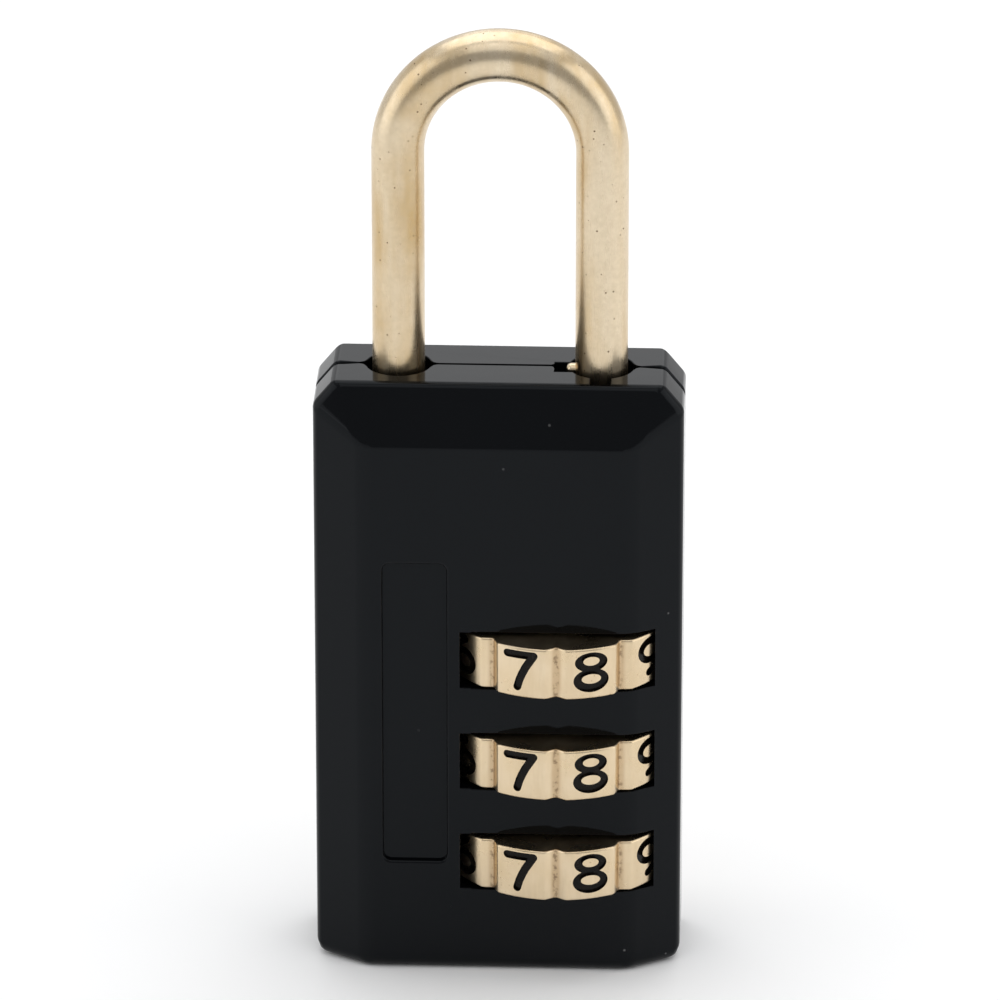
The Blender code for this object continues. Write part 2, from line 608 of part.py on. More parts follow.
def main():
    clear_scene()
    black = principled("case_black", (0.012, 0.012, 0.014), 0.12, 0.0)
    champagne = principled("shackle_brass", (0.62, 0.50, 0.33), 0.28, 1.0)
    dial_brass = principled("dial_brass", (0.78, 0.63, 0.40), 0.32, 1.0)
    steel = principled("spring_steel", (0.55, 0.55, 0.56), 0.3, 1.0)
    brass = principled("brass", (0.72, 0.55, 0.28), 0.35, 1.0)
    plastic = principled("sleeve_resin", (0.72, 0.70, 0.65), 0.5, 0.0)

    build_case(black)
    build_case_pins(steel)
    shackle, key_pin = build_shackle(champagne)
    spindle = build_spindle(brass)
    for name, height in zip(DIAL_NAMES, DIAL_Z):
        build_dial(name, height, dial_brass)
        build_sleeve(name, height, plastic)
    build_washers(steel)
    build_springs(steel, brass)
    build_detents(steel)

    lift = bpy.data.objects.new("shackle_lift_axis", None)
    lift.location = Vector((HEEL_X, 0, BODY_HEIGHT)) * MM
    bpy.context.scene.collection.objects.link(lift)
    bpy.context.view_layer.update()
    for item in (shackle, key_pin, spindle):
        item.parent = lift
        item.matrix_parent_inverse = lift.matrix_world.inverted()


main()
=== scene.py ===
"""A luggage combination padlock: black case, brass shackle, three brass dials."""
import math

import bmesh
import bpy
from mathutils import Matrix, Vector

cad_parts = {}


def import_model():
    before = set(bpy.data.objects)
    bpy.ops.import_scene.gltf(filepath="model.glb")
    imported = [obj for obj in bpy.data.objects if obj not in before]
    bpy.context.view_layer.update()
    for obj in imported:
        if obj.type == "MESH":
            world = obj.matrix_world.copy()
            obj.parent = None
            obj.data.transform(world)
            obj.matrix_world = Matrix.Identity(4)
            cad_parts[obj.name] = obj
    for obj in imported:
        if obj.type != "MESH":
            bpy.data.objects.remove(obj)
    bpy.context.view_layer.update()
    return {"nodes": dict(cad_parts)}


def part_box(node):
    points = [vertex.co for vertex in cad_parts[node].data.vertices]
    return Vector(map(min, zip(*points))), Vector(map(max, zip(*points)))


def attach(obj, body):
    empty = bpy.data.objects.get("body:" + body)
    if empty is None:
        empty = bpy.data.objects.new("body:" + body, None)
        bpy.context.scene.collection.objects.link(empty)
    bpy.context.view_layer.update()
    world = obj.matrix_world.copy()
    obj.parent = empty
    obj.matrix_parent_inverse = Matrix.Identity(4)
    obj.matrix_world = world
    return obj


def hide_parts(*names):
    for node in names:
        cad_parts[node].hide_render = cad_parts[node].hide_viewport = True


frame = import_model()

MM = 0.001


def cad_box(node):
    """A CAD node's box, in millimetres."""
    low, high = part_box(node)
    return low / MM, high / MM


# --- Sizes, in millimetres ----------------------------------------------------------------------
FRONT_LOW, FRONT_HIGH = cad_box("front_shell")
HALF_WIDTH = FRONT_HIGH.x
BODY_HEIGHT = FRONT_HIGH.z
PANEL_Y = -FRONT_LOW.y
PARTING_GAP = 0.075          # between the CAD's parting face and the visual one
PARTING_Y = PARTING_GAP - FRONT_HIGH.y
EDGE_Y = 2.85                # half the thickness at the side walls and the top face
TOP_BEVEL = 3.1              # the sloped border, down from the top
SIDE_BEVEL = 2.9             # and in from the sides
TOP_CORNER_RUN = 1.15
TOP_CORNER_DROP = 1.4
PARTING_ROUND = 0.2          # rounding of the rims along the parting line
RIM_ROUND = 0.06             # and of all other cut rims

SHACKLE_LOW, SHACKLE_HIGH = cad_box("shackle")
WIRE_RADIUS = SHACKLE_HIGH.y
LEG_X = SHACKLE_HIGH.x - WIRE_RADIUS
LEG_CLEARANCE = 0.35
LEG_HOLE_RADIUS = WIRE_RADIUS + LEG_CLEARANCE
BEND_Z = SHACKLE_HIGH.z - WIRE_RADIUS - LEG_X
TOE_DEPTH = 5.25             # of the toe in the case
TOE_Z = BODY_HEIGHT - TOE_DEPTH

DIAL_NAMES = ("lower", "middle", "upper")
DIAL_BOXES = {name: cad_box("dial_" + name) for name in DIAL_NAMES}
DIAL_Z = {name: (low.z + high.z) / 2 for name, (low, high) in DIAL_BOXES.items()}
DIAL_LOW, DIAL_HIGH = DIAL_BOXES["lower"]
AXIS_X = (DIAL_LOW.x + DIAL_HIGH.x) / 2
DIAL_RADIUS = (DIAL_HIGH.x - DIAL_LOW.x) / 2
DIAL_HALF = (DIAL_HIGH.z - DIAL_LOW.z) / 2
STACK_TOP = cad_box("stack_washer_4")[1].z
STACK_BORE_RADIUS = 3.4
POCKET_CLEARANCE = 0.2
POCKET_RADIUS = DIAL_RADIUS + POCKET_CLEARANCE
POCKET_RELIEF = 0.05         # a pocket is this much taller than its window, above and below
WINDOW_MARGIN = 0.94         # beside the dial, at the panel
WINDOW_HALF = math.sqrt(DIAL_RADIUS ** 2 - PANEL_Y ** 2) + WINDOW_MARGIN
WINDOW_GAP = 0.18            # above and below a dial
WINDOW_HALF_HEIGHT = DIAL_HALF + WINDOW_GAP

LABEL_TO_WINDOW = 0.75
LABEL_WIDTH = 3.6
LABEL_HALF_HEIGHT = 9.2
LABEL_RAISE = 2.9            # its middle above the middle dial
LABEL_CORNER = 0.45
LABEL_DEPTH = 0.3
LABEL_LIP = 0.12             # how far its soft rim spreads on the panel

KEYWAY_ROOM = 0.65           # past the end of the key pin
KEYWAY_CLEARANCE = 0.2       # under the key pin
FRONT_KEYWAY_HALF = 0.575
FRONT_KEYWAY_EDGE = 0.15     # left standing in front of the front keyway
FRONT_KEYWAY_DROP = 1.5      # below the key pin
TOE_CLEARANCE = 1.0          # under the toe
PAST = 1.0                   # how far a cut runs past what it cuts


# --- Mesh helpers -------------------------------------------------------------------------------
def new_object(name, bm):
    """Make an object of bm, which is freed."""
    bmesh.ops.recalc_face_normals(bm, faces=bm.faces)
    mesh = bpy.data.meshes.new(name)
    bm.to_mesh(mesh)
    bm.free()
    obj = bpy.data.objects.new(name, mesh)
    bpy.context.scene.collection.objects.link(obj)
    return obj


def apply_modifiers(obj):
    """Turn the object's modifiers into its mesh."""
    graph = bpy.context.evaluated_depsgraph_get()
    graph.update()
    mesh = bpy.data.meshes.new_from_object(obj.evaluated_get(graph))
    obj.modifiers.clear()
    old = obj.data
    obj.data = mesh
    bpy.data.meshes.remove(old)
    return obj


def remove(obj):
    mesh = obj.data
    bpy.data.objects.remove(obj)
    bpy.data.meshes.remove(mesh)


def combine(obj, tools, operation="DIFFERENCE"):
    """Cut obj with each tool in turn, or keep what they share, then discard the tools."""
    for tool in tools:
        boolean = obj.modifiers.new("cut", "BOOLEAN")
        boolean.operation = operation
        boolean.solver = "EXACT"
        boolean.object = tool
        boolean.material_mode = "TRANSFER"
    apply_modifiers(obj)
    for tool in tools:
        remove(tool)
    return obj


def prism(outline, z_low, z_high):
    """A solid with a flat outline of (x, y) points."""
    bm = bmesh.new()
    rings = [[bm.verts.new((x, y, z)) for x, y in outline] for z in (z_low, z_high)]
    bm.faces.new(rings[0][::-1])
    bm.faces.new(rings[1])
    count = len(outline)
    for i in range(count):
        j = (i + 1) % count
        bm.faces.new((rings[0][i], rings[0][j], rings[1][j], rings[1][i]))
    return bm


def block(low, high):
    return prism([(low[0], low[1]), (high[0], low[1]), (high[0], high[1]), (low[0], high[1])],
                 low[2], high[2])


def circle(radius, centre=(0.0, 0.0), steps=64, start=0.0):
    return [(centre[0] + radius * math.cos(start + 2 * math.pi * i / steps),
             centre[1] + radius * math.sin(start + 2 * math.pi * i / steps)) for i in range(steps)]


def rounded_outline(low, high, radius, steps=6):
    """A rectangle with round corners, anticlockwise."""
    points = []
    corners = ((high[0] - radius, high[1] - radius, 0), (low[0] + radius, high[1] - radius, 90),
               (low[0] + radius, low[1] + radius, 180), (high[0] - radius, low[1] + radius, 270))
    for x, y, start in corners:
        for i in range(steps + 1):
            angle = math.radians(start + 90 * i / steps)
            points.append((x + radius * math.cos(angle), y + radius * math.sin(angle)))
    return points


def lofted(rings):
    """A solid through rings of points with equal counts, capped at both ends."""
    bm = bmesh.new()
    made = [[bm.verts.new(p) for p in ring] for ring in rings]
    count = len(made[0])
    for lower, upper in zip(made, made[1:]):
        for i in range(count):
            j = (i + 1) % count
            bm.faces.new((lower[i], lower[j], upper[j], upper[i]))
    bm.faces.new(made[0][::-1])
    bm.faces.new(made[-1])
    return bm


def with_material(obj, *materials):
    obj.data.materials.clear()
    for material in materials:
        obj.data.materials.append(material)
    return obj


def to_metres(obj):
    obj.data.transform(Matrix.Scale(MM, 4))
    return obj


def smooth(obj, angle):
    """Smooth shading that keeps flat faces flat."""
    obj.data.shade_smooth()
    obj.data.set_sharp_from_angle(angle=math.radians(angle))
    modifier = obj.modifiers.new("normals", "WEIGHTED_NORMAL")
    modifier.keep_sharp = True
    modifier.weight = 50
    return obj


# --- Materials ----------------------------------------------------------------------------------
class Look:
    """A node material with one Principled shader."""

    def __init__(self, name, **values):
        self.material = bpy.data.materials.new(name)
        self.material.use_nodes = True
        self.nodes = self.material.node_tree.nodes
        self.links = self.material.node_tree.links
        self.shader = self.nodes["Principled BSDF"]
        for key, value in values.items():
            self.shader.inputs[key.replace("_", " ")].default_value = value
        self.place = self.nodes.new("ShaderNodeTexCoord").outputs["Object"]

    def link(self, source, target):
        self.links.new(source, target)

    def stretched(self, scale):
        mapping = self.nodes.new("ShaderNodeMapping")
        mapping.inputs["Scale"].default_value = scale
        self.link(self.place, mapping.inputs["Vector"])
        return mapping.outputs["Vector"]

    def noise(self, scale, detail=3.0, roughness=0.55, place=None):
        node = self.nodes.new("ShaderNodeTexNoise")
        node.inputs["Scale"].default_value = scale
        node.inputs["Detail"].default_value = detail
        node.inputs["Roughness"].default_value = roughness
        self.link(place or self.place, node.inputs["Vector"])
        return node.outputs["Fac"]

    def voronoi(self, scale):
        node = self.nodes.new("ShaderNodeTexVoronoi")
        node.inputs["Scale"].default_value = scale
        self.link(self.place, node.inputs["Vector"])
        return node.outputs["Distance"]

    def remap(self, value, from_low, from_high, to_low, to_high, smoothstep=False):
        node = self.nodes.new("ShaderNodeMapRange")
        node.interpolation_type = "SMOOTHSTEP" if smoothstep else "LINEAR"
        for key, number in (("From Min", from_low), ("From Max", from_high),
                            ("To Min", to_low), ("To Max", to_high)):
            node.inputs[key].default_value = number
        self.link(value, node.inputs["Value"])
        return node.outputs["Result"]

    def math(self, operation, a, b):
        node = self.nodes.new("ShaderNodeMath")
        node.operation = operation
        for socket, value in zip(node.inputs, (a, b)):
            if isinstance(value, (int, float)):
                socket.default_value = value
            else:
                self.link(value, socket)
        return node.outputs["Value"]

    def mix(self, factor, a, b):
        """Colours a to b by factor. Each colour is a tuple or a socket."""
        node = self.nodes.new("ShaderNodeMix")
        node.data_type = "RGBA"
        self.link(factor, node.inputs["Factor"])
        for socket, value in ((node.inputs[6], a), (node.inputs[7], b)):
            if isinstance(value, tuple):
                socket.default_value = (*value, 1.0)
            else:
                self.link(value, socket)
        return node.outputs[2]

    def attribute(self, name):
        node = self.nodes.new("ShaderNodeAttribute")
        node.attribute_name = name
        return node.outputs["Fac"]

    def bump(self, height, strength, distance, below=None):
        node = self.nodes.new("ShaderNodeBump")
        node.inputs["Strength"].default_value = strength
        node.inputs["Distance"].default_value = distance
        self.link(height, node.inputs["Height"])
        if below is not None:
            self.link(below, node.inputs["Normal"])
        return node.outputs["Normal"]

    def finish(self, colour=None, roughness=None, normal=None):
        for key, socket in (("Base Color", colour), ("Roughness", roughness), ("Normal", normal)):
            if socket is not None:
                self.link(socket, self.shader.inputs[key])
        return self.material


def case_paint():
    """Smooth black gloss, with a faint orange peel, a few specks of dust and hairline rubs."""
    look = Look("case_paint", Specular_IOR_Level=0.15, Specular_Tint=(0.87, 0.94, 1.0, 1.0))
    cloud = look.noise(140.0, 3.0)
    specks = look.remap(look.voronoi(420.0), 0.018, 0.045, 1.0, 0.0, True)
    thin = look.remap(look.noise(60.0, 1.0), 0.47, 0.56, 0.0, 1.0)
    dust = look.math("MULTIPLY", specks, thin)
    rubs = look.remap(look.noise(260.0, 4.0, 0.7, look.stretched((1.0, 1.0, 0.05))),
                      0.60, 0.78, 0.0, 1.0)
    colour = look.mix(dust, look.mix(cloud, (0.0016, 0.0018, 0.0024), (0.0028, 0.0031, 0.0038)),
                      (0.10, 0.10, 0.10))
    rough = look.math("ADD", look.remap(cloud, 0.3, 0.7, 0.055, 0.085),
                      look.math("MULTIPLY", look.math("MAXIMUM", dust, rubs), 0.06))
    peel = look.bump(look.noise(900.0, 2.0), 0.03, 0.0001)
    grain = look.bump(dust, 0.3, 0.00003, peel)
    return look.finish(colour, rough, grain)


def shackle_brass():
    """Polished pale brass, drawn lengthwise, with fine pits and yellow-brown tarnish."""
    look = Look("shackle_brass", Metallic=1.0)
    drawn = look.noise(1100.0, 4.0, 0.65, look.stretched((1.0, 1.0, 0.08)))
    streak = look.noise(420.0, 3.0, 0.6, look.stretched((1.0, 1.0, 0.12)))
    cloud = look.noise(170.0, 4.0, 0.6)
    grain = look.noise(3200.0, 3.0, 0.7)
    pits = look.remap(look.voronoi(1800.0), 0.06, 0.13, 1.0, 0.0, True)
    sparse = look.remap(look.noise(500.0, 2.0), 0.46, 0.58, 0.0, 1.0)
    pits = look.math("MULTIPLY", pits, sparse)
    tarnish = look.math("MULTIPLY", look.remap(streak, 0.34, 0.68, 0.0, 1.0, True),
                        look.remap(cloud, 0.32, 0.68, 0.1, 1.0))
    colour = look.mix(tarnish, (0.76, 0.64, 0.465), (0.53, 0.36, 0.155))
    colour = look.mix(look.remap(grain, 0.35, 0.75, 0.0, 0.35), colour, (0.50, 0.40, 0.26))
    colour = look.mix(look.math("MULTIPLY", pits, 0.9), colour, (0.12, 0.07, 0.035))
    rough = look.math("ADD", look.remap(drawn, 0.3, 0.7, 0.22, 0.32),
                      look.math("MULTIPLY", pits, 0.15))
    lines = look.bump(drawn, 0.07, 0.00005)
    dents = look.bump(cloud, 0.12, 0.0002, lines)
    skin = look.bump(grain, 0.10, 0.00004, dents)
    return look.finish(colour, rough, look.bump(pits, -0.5, 0.00002, skin))


def dial_brass():
    """Satin pale brass with cast pitting, upright rub marks, painted shade in the grooves and
    specks of grime there.
    """
    look = Look("dial_brass", Metallic=1.0)
    cloud = look.noise(330.0, 4.0, 0.6)
    rubs = look.noise(1500.0, 3.0, 0.6, look.stretched((1.0, 1.0, 0.15)))
    pits = look.remap(look.voronoi(3000.0), 0.05, 0.20, 1.0, 0.0, True)
    sparse = look.remap(look.noise(900.0, 2.0), 0.50, 0.62, 0.0, 1.0)
    pits = look.math("MULTIPLY", pits, sparse)
    groove = look.attribute("groove")
    # painted shade: the grooves are coloured darker brown towards their bottoms, by the groove
    # attribute
    shade = look.remap(groove, 0.45, 1.0, 0.0, 0.55, True)
    specks = look.math("MULTIPLY", look.remap(groove, 0.72, 0.98, 0.0, 1.0, True),
                       look.remap(look.noise(2600.0, 3.0, 0.7), 0.50, 0.62, 0.0, 1.0))
    clean = look.mix(look.remap(cloud, 0.3, 0.7, 0.0, 1.0), (0.69, 0.54, 0.34),
                     (0.78, 0.64, 0.45))
    clean = look.mix(look.remap(rubs, 0.45, 0.75, 0.0, 0.5), clean, (0.61, 0.47, 0.295))
    colour = look.mix(look.math("MULTIPLY", pits, 0.5), clean, (0.38, 0.26, 0.14))
    # painted shade in the grooves, then dark specks of grime near their bottoms
    colour = look.mix(shade, colour, (0.45, 0.30, 0.16))
    colour = look.mix(look.math("MULTIPLY", specks, 0.55), colour, (0.12, 0.07, 0.04))
    rough = look.math("ADD", look.remap(cloud, 0.3, 0.7, 0.24, 0.34),
                      look.math("MULTIPLY", look.math("MAXIMUM", pits, specks), 0.2))
    skin = look.bump(look.noise(1300.0, 4.0, 0.6), 0.14, 0.0001)
    return look.finish(colour, rough, look.bump(pits, -0.5, 0.00003, skin))


def digit_paint():
    """Glossy black enamel that fills the numerals."""
    look = Look("digit_paint", Specular_IOR_Level=0.14)
    cloud = look.noise(2200.0, 3.0)
    colour = look.mix(look.remap(cloud, 0.35, 0.75, 0.0, 1.0), (0.0022, 0.0019, 0.0017),
                      (0.012, 0.008, 0.005))
    rough = look.remap(cloud, 0.3, 0.7, 0.16, 0.30)
    return look.finish(colour, rough, look.bump(cloud, 0.2, 0.0001))


def inner_brass():
    """Turned brass, oiled, with fine rings from the lathe."""
    look = Look("turned_brass", Metallic=1.0)
    rings = look.noise(1500.0, 2.0, 0.5, look.stretched((0.05, 0.05, 1.0)))
    cloud = look.noise(300.0, 4.0, 0.6)
    colour = look.mix(cloud, (0.52, 0.36, 0.16), (0.72, 0.55, 0.30))
    rough = look.remap(rings, 0.3, 0.7, 0.28, 0.44)
    return look.finish(colour, rough, look.bump(rings, 0.15, 0.00005))


def spring_steel():
    """Drawn spring wire, dull grey with oil stains."""
    look = Look("drawn_steel", Metallic=1.0)
    cloud = look.noise(800.0, 4.0, 0.6)
    streak = look.noise(2500.0, 3.0)
    colour = look.mix(cloud, (0.30, 0.30, 0.31), (0.50, 0.49, 0.47))
    rough = look.remap(streak, 0.3, 0.7, 0.25, 0.45)
    return look.finish(colour, rough, look.bump(streak, 0.1, 0.00003))


def sleeve_resin():
    """Moulded pale resin with a fine sparked texture."""
    look = Look("moulded_resin", Specular_IOR_Level=0.5)
    spark = look.noise(3000.0, 3.0, 0.6)
    cloud = look.noise(200.0, 2.0)
    colour = look.mix(cloud, (0.55, 0.52, 0.45), (0.66, 0.63, 0.56))
    rough = look.remap(spark, 0.3, 0.7, 0.45, 0.62)
    return look.finish(colour, rough, look.bump(spark, 0.2, 0.00005))


PAINT = case_paint()
SHACKLE_BRASS = shackle_brass()
DIAL_BRASS = dial_brass()
DIGIT_PAINT = digit_paint()
INNER_BRASS = inner_brass()
SPRING_STEEL = spring_steel()
SLEEVE_RESIN = sleeve_resin()


# --- Case ---------------------------------------------------------------------------------------
def edge_softness(a, b):
    """How far the rounding of the case edge from a to b reaches, on each side of it."""
    middle = (a + b) / 2
    along = (b - a).normalized()
    side, depth = abs(middle.x), abs(middle.y)
    panel_x = HALF_WIDTH - SIDE_BEVEL
    if middle.z < 0.01:
        return 1.0 if side > HALF_WIDTH - 0.01 else 0.8
    if abs(along.z) > 0.99:
        return 0.32 if side > panel_x + 0.5 else 0.6
    if depth > PANEL_Y - 0.01:
        return 0.3
    if middle.z > BODY_HEIGHT - 0.01:
        if abs(along.x) < 0.9:
            return 0.25
        return 0.28 if middle.y < 0 else 0.1
    if side > HALF_WIDTH - 0.01:
        return 0.25
    return 0.4


def case_solid():
    """The whole case, both shells, with its edges rounded."""
    bm = bmesh.new()
    panel_x = HALF_WIDTH - SIDE_BEVEL
    for x_side in (-1, 1):
        for y_side in (-1, 1):
            for x, y, z in ((HALF_WIDTH, EDGE_Y, 0.0),
                            (HALF_WIDTH, EDGE_Y, BODY_HEIGHT - TOP_CORNER_DROP),
                            (HALF_WIDTH - TOP_CORNER_RUN, EDGE_Y, BODY_HEIGHT),
                            (panel_x, PANEL_Y, 0.0), (panel_x, PANEL_Y, BODY_HEIGHT - TOP_BEVEL)):
                bm.verts.new((x * x_side, y * y_side, z))
    bmesh.ops.convex_hull(bm, input=bm.verts)
    bmesh.ops.dissolve_limit(bm, angle_limit=math.radians(0.5), verts=bm.verts, edges=bm.edges)
    weights = bm.edges.layers.float.new("bevel_weight_edge")
    for edge in bm.edges:
        edge[weights] = edge_softness(edge.verts[0].co, edge.verts[1].co)
    obj = new_object("case_solid", bm)
    bevel = obj.modifiers.new("round", "BEVEL")
    bevel.limit_method = "WEIGHT"
    bevel.width = 1.0
    bevel.segments = 6
    bevel.use_clamp_overlap = False
    return apply_modifiers(obj)


def leg_hole(side, x, flare=0.6):
    """Outline of half a leg hole, which flares where it meets the parting face."""
    reach = LEG_HOLE_RADIUS + flare
    run = math.sqrt(reach ** 2 - (PARTING_Y + flare) ** 2)
    meet = math.atan2(PARTING_Y + flare, run)
    points = []
    steps = 22
    for i in range(steps + 1):
        angle = math.pi + meet + (math.pi - 2 * meet) * i / steps
        points.append((x + LEG_HOLE_RADIUS * math.cos(angle),
                       LEG_HOLE_RADIUS * math.sin(angle)))
    turn = math.pi / 2 - meet
    for i in range(1, 7):
        angle = math.pi - meet - turn * i / 6
        points.append((x + run + flare * math.cos(angle),
                       -PARTING_Y - flare + flare * math.sin(angle)))
    points += [(x + run, PAST), (x - run, PAST)]
    for i in range(6, 0, -1):
        angle = math.pi - meet - turn * i / 6
        points.append((x - run - flare * math.cos(angle),
                       -PARTING_Y - flare + flare * math.sin(angle)))
    points = [(px, py if side < 0 else -py) for px, py in points]
    return points if side < 0 else points[::-1]


def shell_tools(side):
    """What is cut out of one shell: side is -1 for the front and +1 for the back."""
    tools = []
    axis = (AXIS_X, 0.0)
    bore_floor = cad_box("reset_spring")[0].z
    tools.append(new_object("cut", prism(circle(STACK_BORE_RADIUS, axis, 72),
                                         bore_floor, STACK_TOP)))
    for name in DIAL_NAMES:
        z = DIAL_Z[name]
        half = WINDOW_HALF_HEIGHT + POCKET_RELIEF
        pocket = circle(POCKET_RADIUS, axis, 96, 0.013)
        tools.append(new_object("cut", prism(pocket, z - half, z + half)))
        tools.append(new_object("cut", block(
            (AXIS_X - WINDOW_HALF, -PANEL_Y - PAST, z - WINDOW_HALF_HEIGHT),
            (AXIS_X + WINDOW_HALF, PANEL_Y + PAST, z + WINDOW_HALF_HEIGHT))))
    above = BODY_HEIGHT + PAST
    tools.append(new_object("cut", prism(leg_hole(side, LEG_X), STACK_TOP - PAST / 2, above)))
    tools.append(new_object("cut", prism(leg_hole(side, -LEG_X), TOE_Z - TOE_CLEARANCE, above)))
    pin_low = cad_box("shackle_key_pin")[0]
    tools.append(new_object("cut", keyway(side, pin_low.x - KEYWAY_ROOM,
                                          pin_low.z - KEYWAY_CLEARANCE)))
    if side < 0:
        tools.append(new_object("cut", block(
            (LEG_X - FRONT_KEYWAY_HALF, -EDGE_Y + FRONT_KEYWAY_EDGE,
             pin_low.z - FRONT_KEYWAY_DROP),
            (LEG_X + FRONT_KEYWAY_HALF, 0.0, above))))
        tools.append(new_object("cut", label_tool()))
    for name in ("lower_left", "lower_right", "upper_left", "upper_right"):
        low, high = cad_box("case_pin_" + name)
        centre = ((low.x + high.x) / 2, (low.z + high.z) / 2)
        radius = (high.x - low.x) / 2 + 0.01
        rings = [[(x, y, z) for x, z in circle(radius, centre, 24)]
                 for y in (low.y - 0.02, high.y + 0.02)]
        tools.append(new_object("cut", lofted(rings)))
    return tools


def keyway(side, left, floor, flare=0.3):
    """The key pin's way beside the heel, with a round corner at the parting face."""
    depth = -0.9 if side < 0 else 0.5
    reach = PARTING_Y if side > 0 else -PARTING_Y
    sign = -1 if side < 0 else 1
    outline = [(LEG_X, depth), (LEG_X, -sign * PAST), (left - flare, -sign * PAST)]
    for i in range(5):
        angle = math.pi / 2 * i / 4
        outline.append((left - flare + flare * math.sin(angle),
                        reach + sign * flare * (1 - math.cos(angle))))
    outline.append((left, depth))
    return prism(outline, floor, BODY_HEIGHT + PAST)


def label_tool():
    """The shallow recess on the front panel, with a soft rim."""
    right = AXIS_X - WINDOW_HALF - LABEL_TO_WINDOW
    left = right - LABEL_WIDTH
    middle = DIAL_Z["middle"] + LABEL_RAISE
    low, high = (left, middle - LABEL_HALF_HEIGHT), (right, middle + LABEL_HALF_HEIGHT)
    rings = []
    for y, spread in ((-PANEL_Y - PAST, LABEL_LIP), (-PANEL_Y, LABEL_LIP), (-PANEL_Y + 0.06, 0.04),
                      (-PANEL_Y + 0.12, 0.0), (-PANEL_Y + LABEL_DEPTH, 0.0)):
        outline = rounded_outline((low[0] - spread, low[1] - spread),
                                  (high[0] + spread, high[1] + spread),
                                  LABEL_CORNER + spread)
        rings.append([(x, y, z) for x, z in outline])
    return lofted(rings)


def cut_rims(bm, names, angle):
    """Edges between an outside and a cut face that turn by more than angle, in degrees."""
    return [edge for edge in bm.edges if len(edge.link_faces) == 2
            and len({names[f.material_index] for f in edge.link_faces}) == 2
            and edge.calc_face_angle(0.0) > math.radians(angle)]


def soften(bm, edges, reach, segments, **options):
    bmesh.ops.bevel(bm, geom=edges, offset=reach, offset_type="OFFSET", segments=segments,
                    profile=0.5, affect="EDGES", clamp_overlap=False, **options)


def build_shell(name, side):
    """One half of the case, cut from the rounded solid, with its rims softened."""
    shell = case_solid()
    shell.name = name
    outside = bpy.data.materials.get("outside") or bpy.data.materials.new("outside")
    inside = bpy.data.materials.get("inside") or bpy.data.materials.new("inside")
    with_material(shell, outside)
    far = 60.0
    keep = block((-far, min(side * PARTING_Y, side * far), -far),
                 (far, max(side * PARTING_Y, side * far), far))
    tools = [new_object("keep", keep)] + shell_tools(side)
    for tool in tools:
        with_material(tool, inside)
    combine(shell, tools[:1], "INTERSECT")
    combine(shell, tools[1:])
    bm = bmesh.new()
    bm.from_mesh(shell.data)
    bmesh.ops.remove_doubles(bm, verts=bm.verts, dist=0.002)
    names = [slot.name for slot in shell.data.materials]
    parting = [edge for edge in cut_rims(bm, names, 20)
               if all(abs(abs(v.co.y) - PARTING_Y) < 0.004 for v in edge.verts)]
    soften(bm, parting, PARTING_ROUND, 4, material=-1)
    near = PARTING_Y + PARTING_ROUND + 0.01
    others = [edge for edge in cut_rims(bm, names, 30)
              if not all(abs(v.co.y) < near for v in edge.verts)]
    soften(bm, others, RIM_ROUND, 3)
    bmesh.ops.remove_doubles(bm, verts=bm.verts, dist=0.0005)
    for face in bm.faces:
        face.material_index = 0
    bm.to_mesh(shell.data)
    bm.free()
    with_material(shell, PAINT)
    smooth(shell, 40.0)
    apply_modifiers(shell)
    to_metres(shell)
    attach(shell, "case")
    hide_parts(name)
    return shell


FRONT = build_shell("front_shell", -1)
BACK = build_shell("back_shell", 1)
FRONT.name, BACK.name = "case_front", "case_back"


# --- Dials --------------------------------------------------------------------------------------
FACET_TURN = math.radians(36.0)
GROOVE_HALF = math.radians(5.7)
GROOVE_DEPTH = 0.36
STROKE = 0.235               # half the width of a numeral's stroke
DIGIT_RAISE = 0.1            # above the dial's middle
DIGIT_DEPTH = 0.2
DIAL_RIM = 0.13              # rounding of a dial's upper and lower rims
NOTCH_HALF = 0.5             # ten notches in the bore take the sleeve's key
NOTCH_REACH = 3.8
NOTCH_HEIGHT = 1.2


def groove_depth(offset):
    """Depth below the crown at an angle from a groove's middle, in mm and as a share of 1."""
    share = min(abs(offset) / GROOVE_HALF, 1.0)
    bottom = 0.28            # how round the groove's bottom is
    slope = ((math.sqrt(share * share + bottom * bottom) - bottom)
             / (math.sqrt(1 + bottom ** 2) - bottom))
    fall = (1.0 - slope) ** 1.35
    return GROOVE_DEPTH * fall, fall


def dial_angles():
    """Angles once around, from the front towards +X, closer together in the grooves."""
    angles = []
    for facet in range(10):
        start = FACET_TURN * facet
        angles += [start + GROOVE_HALF * share for share in
                   (-0.97, -0.85, -0.7, -0.55, -0.42, -0.3, -0.2, -0.1, 0.0,
                    0.1, 0.2, 0.3, 0.42, 0.55, 0.7, 0.85, 0.97)]
        first, last = start + GROOVE_HALF * 1.08, start + FACET_TURN - GROOVE_HALF * 1.08
        angles += [first + (last - first) * i / 11 for i in range(12)]
    return angles


